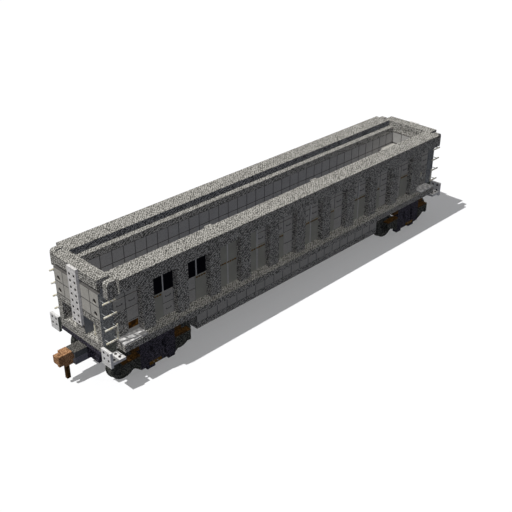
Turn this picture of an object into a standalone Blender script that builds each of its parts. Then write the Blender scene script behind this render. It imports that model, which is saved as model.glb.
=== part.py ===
"""Bogie coal gondola: an open-topped freight wagon with thick hollow-core walls, a tub
between its bogies, perforated end posts, corner ladders and steps, centre couplers.

Metres, +Z up. X runs along the wagon (end A at -X), Y across it (near side at -Y).
The origin is on the rails, under the middle of the wagon.
"""

import math

import bmesh
import bpy

# --- Driving dimensions -------------------------------------------------------------
GAP = 0.0003                 # between pieces that touch

# Body box
INSIDE_LENGTH = 15.05        # between the end walls
BODY_WIDTH = 3.01            # over the top chords
TOP_HEIGHT = 3.655           # rail to the top of the chords
FLOOR_HEIGHT = 1.505         # rail to the top of the floor and side sills
END_DEPTH = 0.43             # along X, of each end structure

# Top chords
CHORD_WIDTH = 0.645
CHORD_HEIGHT = 0.43
LEDGE_DROP = 0.215           # step down inside the chord
END_CHORD_HEIGHT = 0.30
CLEAT_LENGTH = 0.26          # load cleats on the near ledge
CLEAT_WIDTH = 0.13
CLEAT_DROP = 0.02            # below the chord's top
CLEAT_PLACES = (-3.66, 1.13)  # centres along X

# Side walls
WALL_INSET = 0.43            # side sheet's face, in from the chord's face
WALL_THICKNESS = 0.43
POST_WIDTH = 0.43
POST_DEPTH = 0.215
POST_PITCH = 1.29
POST_COUNT = 11

# Side sills
SILL_HEIGHT = 0.215
BOARD_LENGTH = 1.03          # running boards on the sill's ends
BOARD_HEIGHT = 0.05

# Floor, tub and slopes
FLOOR_THICKNESS = 0.129
TUB_LENGTH = 9.03
TUB_BOTTOM = 0.43
TUB_FLOOR_THICKNESS = 0.13
TUB_END_THICKNESS = 0.13
SHELF_HEIGHT = 2.752         # rail to the shelf over each slope sheet
SHELF_LENGTH = 0.731
SLOPE_RUN = 1.20             # along X, of the sloping part
SLOPE_THICKNESS = 0.06

# Underframe
CENTRE_SILL_WIDTH = 0.33
CENTRE_SILL_DEPTH = 0.316
CENTRE_PLATE_HEIGHT = 0.035
BODY_BOLSTER_LENGTH = 1.90   # across the wagon
BODY_BOLSTER_WIDTH = 0.43
DRAFT_BOX_WIDTH = 0.43
DRAFT_BOX_HEIGHT = 0.43
DRAFT_BOX_REACH = 0.43       # beyond the end sill's face
DRAFT_LUG_WIDTH = 0.95
DRAFT_LUG_DEPTH = 0.23
DRAFT_STOP_DROP = 0.16       # below the draft box
POCKET_WIDTH = 0.344
POCKET_HEIGHT = 0.24
POCKET_DEPTH = 0.735

# End structures
END_SILL_HEIGHT = 0.43
END_PLATE_THICKNESS = 0.086
END_PLATE_HEIGHT = 1.075
END_HOLE_DIAMETER = 0.16
END_HOLE_PITCH = 0.41
END_HOLE_DROP = 0.31         # first hole, below the side chords
END_HOLE_INSET = 0.20        # from the end's flank
ALCOVE_BACK = 0.13           # thickness of the wall behind each alcove
CORNER_POST_WIDTH = 0.22
COLUMN_WIDTH = 0.43
COLUMN_THICKNESS = 0.086
COLUMN_HEIGHT = 1.825        # down from the top of the chords
COLUMN_HOLE = 0.09
COLUMN_HOLE_ROWS = 8
COLUMN_HOLE_PITCH = 0.215
COLUMN_HOLE_DROP = 0.24      # first row, below the top of the chords
GRAB_DIAMETER = 0.056        # ladder rungs and alcove rods
ALCOVE_ROD_DEPTH = 0.20      # behind the end's face
ALCOVE_ROD_PLACE = 0.43      # from the middle of the end

# Corner lugs, steps and ladders
LUG_LENGTH = 0.314           # lashing lugs on the chords' ends
LUG_THICKNESS = 0.20
LUG_INSET = 0.13             # from the chord's face
LUG_HEIGHT = 0.52
LUG_TOP_DROP = 0.02          # below the chord's top
LUG_CORNER = 0.12
LUG_RECESS_RADIUS = 0.10
LUG_RECESS_DEPTH = 0.02
STEP_WIDTH = 0.43
STEP_DROP = 0.516            # of the upright plate, below the floor's top
STEP_TREAD_THICKNESS = 0.086
STEP_HOLE = 0.08
STEP_HOLE_PITCH = 0.20
STEP_HOLE_TOP = 0.10         # first row, below the floor's top
STEP_HOLE_ROWS = 2
LADDER_RUNGS = 4
LADDER_TOP = 2.989           # rail to the top rung
LADDER_PITCH = 0.43
LADDER_STANDOFF = 0.215
LADDER_RUNG_REACH = 0.02     # past the end's face
STANDOFF_RADIUS = 0.014
LADDER_STILE = 0.05
LADDER_STILE_THICKNESS = 0.02

# Bogies
BOGIE_CENTRES = 12.47
WHEELBASE = 2.15
WHEEL_DIAMETER = 0.92
FLANGE_HEIGHT = 0.03
WHEEL_BACK_TO_BACK = 1.60
WHEEL_WIDTH = 0.22
WHEEL_PLATE = 0.04
RIM_DEPTH = 0.09
HUB_RADIUS = 0.15
AXLE_RADIUS = 0.085
JOURNAL_RADIUS = 0.075
JOURNAL_LENGTH = 0.235       # beyond the wheel's hub
JOURNAL_CLEARANCE = 0.0008
TURNED_STEPS = 24
FRAME_THICKNESS = 0.215
FRAME_TO_WHEEL = 0.055       # side frame's inner face to the wheel's outer face
FRAME_UNDER_SILL = 0.14      # side sill to the top of the frame
FRAME_BOTTOM = 0.12
FRAME_HALF_TOP = 0.92        # along X, of the top bar
FRAME_TOP_BAR = 0.20
FRAME_BAR_INSET = 0.012      # of the bar's and legs' faces, from the frame's
FRAME_HALF_BODY = 0.645      # along X, of the deep middle part
FRAME_ARM_TOP = 0.80
FRAME_ARM_FALL = 0.04        # towards each end
PEDESTAL_WALL = 0.11
PEDESTAL_SIDE_GAP = 0.02     # journal to the pedestal's jaws
PEDESTAL_FOOT = 0.38
PEDESTAL_CHAMFER = 0.03
LEG_PLACES = ((-0.43, -0.13), (0.375, 0.635))  # along X from the bogie's centre, outwards
SPRING_SEAT_TOP = 0.36
SPRING_SEAT_BOTTOM = 0.22
WINDOW_HALF = 0.30
WINDOW_HEADER = 0.25         # frame above the window
WINDOW_WALL = 0.016          # closes the window behind the springs
SPRING_RADIUS = 0.085
SPRING_PITCH = 0.20
SPRING_ROW = (-1, 0, 1)
SPRING_TURNS = 5
BOLSTER_WIDTH = 0.36
BOLSTER_DEPTH = 0.38
BOLSTER_END_HEIGHT = 0.26
BOWL_RADIUS = 0.18
BOWL_HEIGHT = 0.04
CENTRE_PLATE_GAP = 0.005
KINGPIN_RADIUS = 0.04
KINGPIN_DEPTH = 0.15
PIN_CLEARANCE = 0.0008
BRAKE_BEAM = 0.06
BRAKE_BEAM_CENTRE = 0.44     # from the bogie's centre, along X
SHOE_HEIGHT = 0.24
SHOE_TO_TREAD = 0.012
SHOE_INSET = 0.03            # from the tread's edges

# Couplers
COUPLER_PIVOT_INSET = 0.155  # from the end sill's face, inwards
SHANK_WIDTH = 0.14
SHANK_HEIGHT = 0.16
SHANK_TAIL = 0.08            # behind the pivot
COUPLER_PIN_RADIUS = 0.05
HEAD_LENGTH = 0.26
HEAD_WIDTH = 0.34
HEAD_TOP = 1.12
HEAD_BOTTOM = 0.71
HEAD_TO_BOX = 0.05
ARM_LENGTH = 0.19
ARM_WIDTH = 0.10
JAW_THICKNESS = 0.075
KNUCKLE_CLEARANCE = 0.006
KNUCKLE_REACH = 0.22
KNUCKLE_HOOK = 0.135         # from the pivot, across the wagon
KNUCKLE_NOSE = 0.08          # along X
KNUCKLE_WIDTH = 0.11
KNUCKLE_PIN_RADIUS = 0.025
TOGGLE_WIDTH = 0.12
TOGGLE_THICKNESS = 0.11
TOGGLE_LENGTH = 0.53

# --- Places that follow from them ---------------------------------------------------
HALF_INSIDE = INSIDE_LENGTH / 2
HALF_BODY = BODY_WIDTH / 2
END_FACE = HALF_INSIDE + END_DEPTH
SHEET_FACE = HALF_BODY - WALL_INSET
INNER_FACE = SHEET_FACE - WALL_THICKNESS
CHORD_BOTTOM = TOP_HEIGHT - CHORD_HEIGHT
SILL_BOTTOM = FLOOR_HEIGHT - SILL_HEIGHT
FLOOR_BOTTOM = FLOOR_HEIGHT - FLOOR_THICKNESS
CENTRE_SILL_BOTTOM = FLOOR_BOTTOM - CENTRE_SILL_DEPTH
BOLSTER_TOP = CENTRE_SILL_BOTTOM - CENTRE_PLATE_HEIGHT - CENTRE_PLATE_GAP - BOWL_HEIGHT
BOLSTER_BOTTOM = BOLSTER_TOP - BOLSTER_DEPTH
FRAME_TOP = SILL_BOTTOM - FRAME_UNDER_SILL
WINDOW_TOP = FRAME_TOP - WINDOW_HEADER
HALF_TUB = TUB_LENGTH / 2
END_SILL_BOTTOM = FLOOR_HEIGHT - END_SILL_HEIGHT
END_PLATE_BOTTOM = CHORD_BOTTOM - END_PLATE_HEIGHT
AXLE_HEIGHT = WHEEL_DIAMETER / 2 + FLANGE_HEIGHT
WHEEL_BACK = WHEEL_BACK_TO_BACK / 2
WHEEL_FACE = WHEEL_BACK + WHEEL_WIDTH
FRAME_INNER = WHEEL_FACE + FRAME_TO_WHEEL
PEDESTAL_OPENING = JOURNAL_RADIUS + PEDESTAL_SIDE_GAP
DRAFT_BOX_FRONT = END_FACE + DRAFT_BOX_REACH
COUPLER_PIVOT = END_FACE - COUPLER_PIVOT_INSET
COUPLER_HEIGHT = END_SILL_BOTTOM - DRAFT_BOX_HEIGHT / 2
HEAD_BACK = DRAFT_BOX_FRONT + HEAD_TO_BOX
HEAD_FRONT = HEAD_BACK + HEAD_LENGTH

ENDS = (("a", -1), ("b", 1))
SIDES = (("near", -1), ("far", 1))

# name: (red, green, blue, metallic, roughness), linear
FINISHES = {
    "cast_body_paint": (0.31, 0.30, 0.28, 0.0, 0.85),
    "pressed_sheet_paint": (0.17, 0.18, 0.19, 0.1, 0.60),
    "pale_galvanised": (0.60, 0.59, 0.58, 0.3, 0.55),
    "dark_bogie_iron": (0.035, 0.03, 0.045, 0.4, 0.70),
    "worn_wheel_steel": (0.045, 0.048, 0.048, 0.7, 0.55),
    "rusty_coupler_iron": (0.33, 0.17, 0.09, 0.2, 0.80),
    "brown_spring_iron": (0.13, 0.065, 0.012, 0.2, 0.80),
}


# --- Scene helpers ------------------------------------------------------------------
def clear_scene():
    for old in list(bpy.data.objects):
        bpy.data.objects.remove(old, do_unlink=True)


def new_collection(name):
    made = bpy.data.collections.new(name)
    bpy.context.scene.collection.children.link(made)
    return made


def material(name):
    found = bpy.data.materials.get(name)
    if found:
        return found
    red, green, blue, metallic, roughness = FINISHES[name]
    made = bpy.data.materials.new(name)
    made.use_nodes = True
    shader = made.node_tree.nodes["Principled BSDF"]
    shader.inputs["Base Color"].default_value = (red, green, blue, 1)
    shader.inputs["Metallic"].default_value = metallic
    shader.inputs["Roughness"].default_value = roughness
    return made


def mesh_object(name, bm):
    mesh = bpy.data.meshes.new(name)
    bmesh.ops.recalc_face_normals(bm, faces=bm.faces)
    bm.to_mesh(mesh)
    bm.free()
    made = bpy.data.objects.new(name, mesh)
    HELPERS.objects.link(made)
    return made


def box(x, y, z, name="box"):
    """A box between two values on each axis, in either order."""
    spans = [sorted(pair) for pair in (x, y, z)]
    bm = bmesh.new()
    bmesh.ops.create_cube(bm, size=1)
    bmesh.ops.scale(bm, vec=[high - low for low, high in spans], verts=bm.verts)
    bmesh.ops.translate(bm, vec=[(low + high) / 2 for low, high in spans], verts=bm.verts)
    return mesh_object(name, bm)


def post(centre, radius, low, high, axis="Z", segments=16, name="post"):
    """A round bar along one axis: centre holds the two other coordinates in XYZ order."""
    bm = bmesh.new()
    bmesh.ops.create_cone(bm, cap_ends=True, segments=segments, radius1=radius,
                          radius2=radius, depth=high - low)
    middle = (low + high) / 2
    turn, place = {
        "X": ((0, math.pi / 2, 0), (middle, *centre)),
        "Y": ((math.pi / 2, 0, 0), (centre[0], middle, centre[1])),
        "Z": ((0, 0, 0), (*centre, middle)),
    }[axis]
    made = mesh_object(name, bm)
    made.rotation_euler = turn
    made.location = place
    return made


def as_mesh(curve_object):
    """The curve's evaluated surface as a welded mesh object in the same place."""
    bpy.context.view_layer.update()
    graph = bpy.context.evaluated_depsgraph_get()
    mesh = bpy.data.meshes.new_from_object(curve_object.evaluated_get(graph))
    bm = bmesh.new()
    bm.from_mesh(mesh)
    bmesh.ops.remove_doubles(bm, verts=bm.verts, dist=1e-5)
    bmesh.ops.recalc_face_normals(bm, faces=bm.faces)
    bm.to_mesh(mesh)
    bm.free()
    made = bpy.data.objects.new(curve_object.name + "_mesh", mesh)
    made.matrix_world = curve_object.matrix_world
    HELPERS.objects.link(made)
    bpy.data.objects.remove(curve_object, do_unlink=True)
    return made


def plate(outline, plane, low, high, name="plate"):
    """A flat closed outline in plane XY, XZ or YZ, thickened from low to high."""
    low, high = sorted((low, high))
    curve = bpy.data.curves.new(name, "CURVE")
    curve.dimensions = "2D"
    curve.fill_mode = "BOTH"
    curve.extrude = (high - low) / 2
    spline = curve.splines.new("POLY")
    spline.points.add(len(outline) - 1)
    for point, (u, v) in zip(spline.points, outline):
        point.co = (u, v, 0, 1)
    spline.use_cyclic_u = True
    made = bpy.data.objects.new(name, curve)
    middle = (low + high) / 2
    made.rotation_euler, made.location = {
        "XY": ((0, 0, 0), (0, 0, middle)),
        "XZ": ((math.pi / 2, 0, 0), (0, middle, 0)),
        "YZ": ((math.pi / 2, 0, math.pi / 2), (middle, 0, 0)),
    }[plane]
    HELPERS.objects.link(made)
    return as_mesh(made)


def tube(points, radius, name="tube"):
    """A round bar along straight runs between points, with filled ends."""
    curve = bpy.data.curves.new(name, "CURVE")
    curve.dimensions = "3D"
    curve.bevel_depth = radius
    curve.bevel_resolution = 1
    curve.use_fill_caps = True
    spline = curve.splines.new("POLY")
    spline.points.add(len(points) - 1)
    for point, place in zip(spline.points, points):
        point.co = (*place, 1)
    made = bpy.data.objects.new(name, curve)
    HELPERS.objects.link(made)
    return as_mesh(made)


def boolean(base, other, operation):
    modifier = base.modifiers.new(operation.title(), "BOOLEAN")
    modifier.operation = operation
    modifier.solver = "EXACT"
    modifier.object = other
    other.name = base.name + "_" + other.name


def node(name, base, finish, joined=(), cutters=(), parent=None):
    """Makes base a named sub-part: joined pieces are fused to it, then cutters cut it."""
    base.name = name
    base.data.name = name
    for piece in joined:
        boolean(base, piece, "UNION")
    for piece in cutters:
        boolean(base, piece, "DIFFERENCE")
    for piece in (*joined, *cutters):
        piece.hide_render = True
        piece.display_type = "WIRE"
    HELPERS.objects.unlink(base)
    WAGON.objects.link(base)
    base.data.materials.clear()
    base.data.materials.append(material(finish))
    if parent:
        base.parent = parent
        base.matrix_parent_inverse = parent.matrix_world.inverted()
    return base


def pivot(name, place, parent=None):
    made = bpy.data.objects.new(name, None)
    made.location = place
    WAGON.objects.link(made)
    bpy.context.view_layer.update()
    if parent:
        made.parent = parent
        made.matrix_parent_inverse = parent.matrix_world.inverted()
        bpy.context.view_layer.update()
    return made


# --- Car body -----------------------------------------------------------------------
def post_centres():
    first = -POST_PITCH * (POST_COUNT - 1) / 2
    return [first + POST_PITCH * i for i in range(POST_COUNT)]


def lashing_lug(end, side):
    """An upright round-shouldered block on the chord's end."""
    outer = HALF_BODY - LUG_INSET
    near, far = HALF_INSIDE - 0.03, HALF_INSIDE + LUG_LENGTH
    top = TOP_HEIGHT - LUG_TOP_DROP
    steps = 6
    shoulder = [(far - LUG_CORNER + LUG_CORNER * math.sin(math.pi / 2 * i / steps),
                 top - LUG_CORNER + LUG_CORNER * math.cos(math.pi / 2 * i / steps))
                for i in range(steps + 1)]
    outline = [(near, top - LUG_HEIGHT), (near, top), *shoulder, (far, top - LUG_HEIGHT)]
    outline = [(end * x, z) for x, z in outline]
    return plate(outline, "XZ", side * (outer - LUG_THICKNESS), side * outer, "lug")


def lug_recess(end, side):
    """A shallow round seat on the lug's outer face."""
    outer = HALF_BODY - LUG_INSET
    centre = (end * (HALF_INSIDE + LUG_LENGTH / 2), TOP_HEIGHT - LUG_TOP_DROP - LUG_LENGTH / 2)
    low, high = sorted((side * (outer - LUG_RECESS_DEPTH), side * (outer + 0.1)))
    return post(centre, LUG_RECESS_RADIUS, low, high, "Y", name="recess")


def top_chord(name, side):
    outer, step, inner = side * HALF_BODY, side * (HALF_BODY - CHORD_WIDTH), side * INNER_FACE
    ledge = TOP_HEIGHT - LEDGE_DROP
    outline = [(outer, CHORD_BOTTOM), (outer, TOP_HEIGHT), (step, TOP_HEIGHT),
               (step, ledge), (inner, ledge), (inner, CHORD_BOTTOM)]
    base = plate(outline, "YZ", -HALF_INSIDE + GAP, HALF_INSIDE - GAP)
    joined = [lashing_lug(end, side) for _, end in ENDS]
    if side < 0:
        for x in CLEAT_PLACES:
            joined.append(box((x - CLEAT_LENGTH / 2, x + CLEAT_LENGTH / 2),
                              (step + side * 0.05, step - side * CLEAT_WIDTH),
                              (ledge - 0.05, TOP_HEIGHT - CLEAT_DROP), "cleat"))
    cutters = [lug_recess(end, side) for _, end in ENDS]
    node("top_chord_" + name, base, "cast_body_paint", joined, cutters)


def side_wall(name, side):
    """The double-skinned side with its posts, as one plan outline raised floor to chord."""
    face, inner, proud = side * SHEET_FACE, side * INNER_FACE, side * (SHEET_FACE + POST_DEPTH)
    long_end = HALF_INSIDE - GAP
    outline = [(-long_end, inner), (-long_end, face)]
    for x in post_centres():
        low, high = x - POST_WIDTH / 2, x + POST_WIDTH / 2
        outline += [(low, face), (low, proud), (high, proud), (high, face)]
    outline += [(long_end, face), (long_end, inner)]
    base = plate(outline, "XY", FLOOR_HEIGHT + GAP, CHORD_BOTTOM - GAP)
    node("side_wall_" + name, base, "pressed_sheet_paint")


def side_sill(name, side):
    y = (side * (SHEET_FACE + GAP), side * HALF_BODY)
    base = box((-HALF_INSIDE, HALF_INSIDE), y, (SILL_BOTTOM, FLOOR_HEIGHT))
    board_outer = SHEET_FACE + POST_DEPTH + LADDER_STANDOFF * 0.9
    post_end = post_centres()[-1] + POST_WIDTH / 2
    joined = []
    for _, end in ENDS:
        x = (end * (post_end + 0.02), end * (HALF_INSIDE - 0.01))
        joined.append(box(x, (side * (SHEET_FACE + 0.02), side * board_outer),
                          (FLOOR_HEIGHT - 0.02, FLOOR_HEIGHT + BOARD_HEIGHT), "board"))
    node("side_sill_" + name, base, "cast_body_paint", joined)


def end_structure(name, end):
    """The end chord, end wall with its plates, perforated column, platform and steps."""
    inner, outer = end * (HALF_INSIDE + GAP), end * END_FACE
    plate_back = end * (END_FACE - END_PLATE_THICKNESS)
    end_chord_bottom = TOP_HEIGHT - END_CHORD_HEIGHT
    width = (-SHEET_FACE, SHEET_FACE)

    chord = box((inner, outer), width, (end_chord_bottom, TOP_HEIGHT))
    node("end_chord_" + name, chord, "cast_body_paint")

    wall = box((inner, plate_back), width, (END_PLATE_BOTTOM, end_chord_bottom - GAP))
    overlap = 0.02
    half_column = COLUMN_WIDTH / 2
    joined, cutters = [], []
    for _, side in SIDES:
        joined.append(box((plate_back - end * overlap, outer),
                          (side * half_column, side * SHEET_FACE),
                          (END_PLATE_BOTTOM, CHORD_BOTTOM), "end_plate"))
        for row in range(2):
            z = CHORD_BOTTOM - END_HOLE_DROP - END_HOLE_PITCH * row
            y = side * (SHEET_FACE - END_HOLE_INSET)
            cutters.append(post((y, z), END_HOLE_DIAMETER / 2, min(plate_back, outer) - 0.01,
                                max(plate_back, outer) + 0.01, "X", name="hole"))
    node("end_wall_" + name, wall, "cast_body_paint", joined, cutters)

    column = box((outer + end * GAP, outer + end * COLUMN_THICKNESS),
                 (-half_column, half_column), (TOP_HEIGHT - COLUMN_HEIGHT, TOP_HEIGHT))
    cutters = []
    for row in range(COLUMN_HOLE_ROWS):
        z = TOP_HEIGHT - COLUMN_HOLE_DROP - COLUMN_HOLE_PITCH * row
        for _, side in SIDES:
            y = side * COLUMN_HOLE_PITCH / 2
            cutters.append(box((outer - end * 0.01, outer + end * 0.2),
                               (y - COLUMN_HOLE / 2, y + COLUMN_HOLE / 2),
                               (z - COLUMN_HOLE / 2, z + COLUMN_HOLE / 2), "hole"))
    node("end_column_" + name, column, "pale_galvanised", cutters=cutters)
    platform(name, end)


def platform(name, end):
    """End sill with the alcove wall and corner posts on it, and a step at each corner."""
    inner, outer = end * (HALF_INSIDE + GAP), end * END_FACE
    base = box((inner, outer), (-SHEET_FACE, SHEET_FACE), (END_SILL_BOTTOM, FLOOR_HEIGHT))
    top = END_PLATE_BOTTOM - GAP
    sunk = FLOOR_HEIGHT - 0.05
    half_column = COLUMN_WIDTH / 2
    joined = [box((inner, end * (HALF_INSIDE + ALCOVE_BACK)), (-SHEET_FACE, SHEET_FACE),
                  (sunk, top), "alcove_wall"),
              box((inner, outer), (-half_column, half_column), (sunk, top), "column_core")]
    cutters = []
    for _, side in SIDES:
        joined.append(box((inner, outer), (side * (SHEET_FACE - CORNER_POST_WIDTH),
                                           side * SHEET_FACE), (sunk, top), "corner_post"))
        rod_place = (end * (END_FACE - ALCOVE_ROD_DEPTH), side * ALCOVE_ROD_PLACE)
        joined.append(post(rod_place, GRAB_DIAMETER / 2, sunk, top, segments=8, name="rod"))
        y = (side * SHEET_FACE - side * 0.02, side * (SHEET_FACE + STEP_WIDTH))
        tread_bottom = END_SILL_BOTTOM
        joined.append(box((inner, outer + end * 0.03), y,
                          (tread_bottom, tread_bottom + STEP_TREAD_THICKNESS), "tread"))
        upright_y = (side * (SHEET_FACE + GAP), side * (SHEET_FACE + STEP_WIDTH))
        joined.append(box((outer, outer + end * END_PLATE_THICKNESS), upright_y,
                          (FLOOR_HEIGHT - STEP_DROP, FLOOR_HEIGHT), "upright"))
        centre_y = side * (SHEET_FACE + STEP_WIDTH / 2)
        for dy in (-0.5, 0.5):
            y_hole = centre_y + dy * STEP_HOLE_PITCH
            span = (y_hole - STEP_HOLE / 2, y_hole + STEP_HOLE / 2)
            for row in range(STEP_HOLE_ROWS):
                z_hole = FLOOR_HEIGHT - STEP_HOLE_TOP - row * STEP_HOLE_PITCH
                cutters.append(box((outer - end * 0.05, outer + end * 0.2), span,
                                   (z_hole - STEP_HOLE / 2, z_hole + STEP_HOLE / 2), "hole"))
    node("platform_" + name, base, "cast_body_paint", joined, cutters)


def ladder(end_name, end, side_name, side):
    """Two flat stiles against the end wall's flank, with four straight rungs on standoffs."""
    margin = 0.07
    flank = side * (SHEET_FACE + GAP)
    stile_face = side * (SHEET_FACE + LADDER_STILE_THICKNESS)
    bottom = LADDER_TOP - LADDER_PITCH * (LADDER_RUNGS - 1)
    places = (HALF_INSIDE + margin, END_FACE - margin)
    stiles = [box((end * (x - LADDER_STILE / 2), end * (x + LADDER_STILE / 2)),
                  (flank, stile_face), (bottom - margin, LADDER_TOP + margin), "stile")
              for x in places]
    out = side * (SHEET_FACE + LADDER_STANDOFF)
    radius = GRAB_DIAMETER / 2
    low, high = sorted((end * (HALF_INSIDE + LADDER_RUNG_REACH),
                        end * (END_FACE + LADDER_RUNG_REACH)))
    rungs = []
    for i in range(LADDER_RUNGS):
        z = bottom + LADDER_PITCH * i
        rungs.append(post((out, z), radius, low, high, "X", 8, "rung"))
        for x in places:
            y = sorted((side * (SHEET_FACE + LADDER_STILE_THICKNESS / 2), out))
            rungs.append(post((end * x, z), STANDOFF_RADIUS, *y, "Y", 6, "standoff"))
    brace = post((end * (HALF_INSIDE + LADDER_RUNG_REACH * 2), out), radius * 0.9,
                 bottom, bottom + LADDER_PITCH + radius * 2, "Z", 8, "brace")
    node(f"ladder_{end_name}_{side_name}", stiles[0], "pale_galvanised",
         [stiles[1], *rungs, brace])


def floors_and_tub():
    for side_name, side in SIDES:
        base = box((-HALF_TUB, HALF_TUB), (side * INNER_FACE, side * SHEET_FACE),
                   (TUB_BOTTOM, FLOOR_HEIGHT))
        node("tub_side_" + side_name, base, "pressed_sheet_paint")
    inside = INNER_FACE - GAP
    half_floor = HALF_TUB - TUB_END_THICKNESS - GAP
    base = box((-half_floor, half_floor), (-inside, inside),
               (TUB_BOTTOM, TUB_BOTTOM + TUB_FLOOR_THICKNESS))
    node("tub_floor", base, "pressed_sheet_paint")
    for name, end in ENDS:
        face = end * (HALF_TUB - TUB_END_THICKNESS)
        base = box((face, end * HALF_TUB), (-inside, inside), (TUB_BOTTOM, FLOOR_HEIGHT))
        half = CENTRE_SILL_WIDTH / 2 + GAP
        slot = box((face - end * 0.1, end * (HALF_TUB + 0.1)), (-half, half),
                   (CENTRE_SILL_BOTTOM - GAP, FLOOR_BOTTOM), "slot")
        node("tub_end_" + name, base, "pressed_sheet_paint", cutters=[slot])

        base = box((end * (HALF_TUB + GAP), end * HALF_INSIDE), (-SHEET_FACE, SHEET_FACE),
                   (FLOOR_BOTTOM, FLOOR_HEIGHT))
        node("end_floor_" + name, base, "cast_body_paint")

        foot = HALF_INSIDE - SHELF_LENGTH - SLOPE_RUN
        thickness = SLOPE_THICKNESS
        low = FLOOR_HEIGHT + GAP
        wall = HALF_INSIDE - GAP
        lip = HALF_INSIDE - SHELF_LENGTH
        outline = [(foot, low), (lip, SHELF_HEIGHT), (wall, SHELF_HEIGHT),
                   (wall, SHELF_HEIGHT - thickness), (lip + thickness / 2, SHELF_HEIGHT - thickness),
                   (foot + thickness * 1.5, low)]
        outline = [(end * x, z) for x, z in outline]
        node("slope_sheet_" + name, plate(outline, "XZ", -inside, inside), "cast_body_paint")


def underframe():
    half = CENTRE_SILL_WIDTH / 2
    top = FLOOR_BOTTOM - GAP
    bolster_inner = (BOGIE_CENTRES - BODY_BOLSTER_WIDTH) / 2
    sill = bolster_inner - GAP
    base = box((-sill, sill), (-half, half), (CENTRE_SILL_BOTTOM, top))
    node("centre_sill", base, "dark_bogie_iron")

    for name, end in ENDS:
        centre = end * BOGIE_CENTRES / 2
        outer = bolster_inner + BODY_BOLSTER_WIDTH
        base = box((end * bolster_inner, end * outer),
                   (-BODY_BOLSTER_LENGTH / 2, BODY_BOLSTER_LENGTH / 2),
                   (CENTRE_SILL_BOTTOM, top))
        bowl_top = BOLSTER_TOP + BOWL_HEIGHT
        joined = [box((end * (outer - 0.05), end * HALF_INSIDE), (-half, half),
                      (CENTRE_SILL_BOTTOM + 0.02, top - 0.002), "stub_sill"),
                  post((centre, 0), BOWL_RADIUS, bowl_top + CENTRE_PLATE_GAP,
                       CENTRE_SILL_BOTTOM + 0.05, segments=20, name="centre_plate"),
                  post((centre, 0), KINGPIN_RADIUS, bowl_top - KINGPIN_DEPTH,
                       CENTRE_SILL_BOTTOM + 0.02, name="kingpin")]
        node("body_bolster_" + name, base, "dark_bogie_iron", joined)

    for name, end in ENDS:
        inner, front = end * HALF_INSIDE, end * DRAFT_BOX_FRONT
        low, high = END_SILL_BOTTOM - DRAFT_BOX_HEIGHT, END_SILL_BOTTOM - GAP
        half_box, half_lug = DRAFT_BOX_WIDTH / 2, DRAFT_LUG_WIDTH / 2
        lug = inner + end * DRAFT_LUG_DEPTH
        outline = [(inner, -half_lug), (lug, -half_lug), (lug, -half_box), (front, -half_box),
                   (front, half_box), (lug, half_box), (lug, half_lug), (inner, half_lug)]
        base = plate(outline, "XY", low, high)
        stop = box((inner, lug), (-half_lug * 0.9, half_lug * 0.9),
                   (low - DRAFT_STOP_DROP, low + 0.05), "draft_stop")
        pocket = box((front + end * 0.05, front - end * POCKET_DEPTH),
                     (-POCKET_WIDTH / 2, POCKET_WIDTH / 2),
                     (COUPLER_HEIGHT - POCKET_HEIGHT / 2, COUPLER_HEIGHT + POCKET_HEIGHT / 2),
                     "pocket")
        node("draft_box_" + name, base, "dark_bogie_iron", [stop], [pocket])


# --- Couplers -----------------------------------------------------------------------
def knuckle_pivot(end):
    """The knuckle hangs on the side of the head that is at +Y on end A."""
    return end * (HEAD_FRONT - 0.05), -end * (HEAD_WIDTH / 2 - KNUCKLE_WIDTH / 2)


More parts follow.
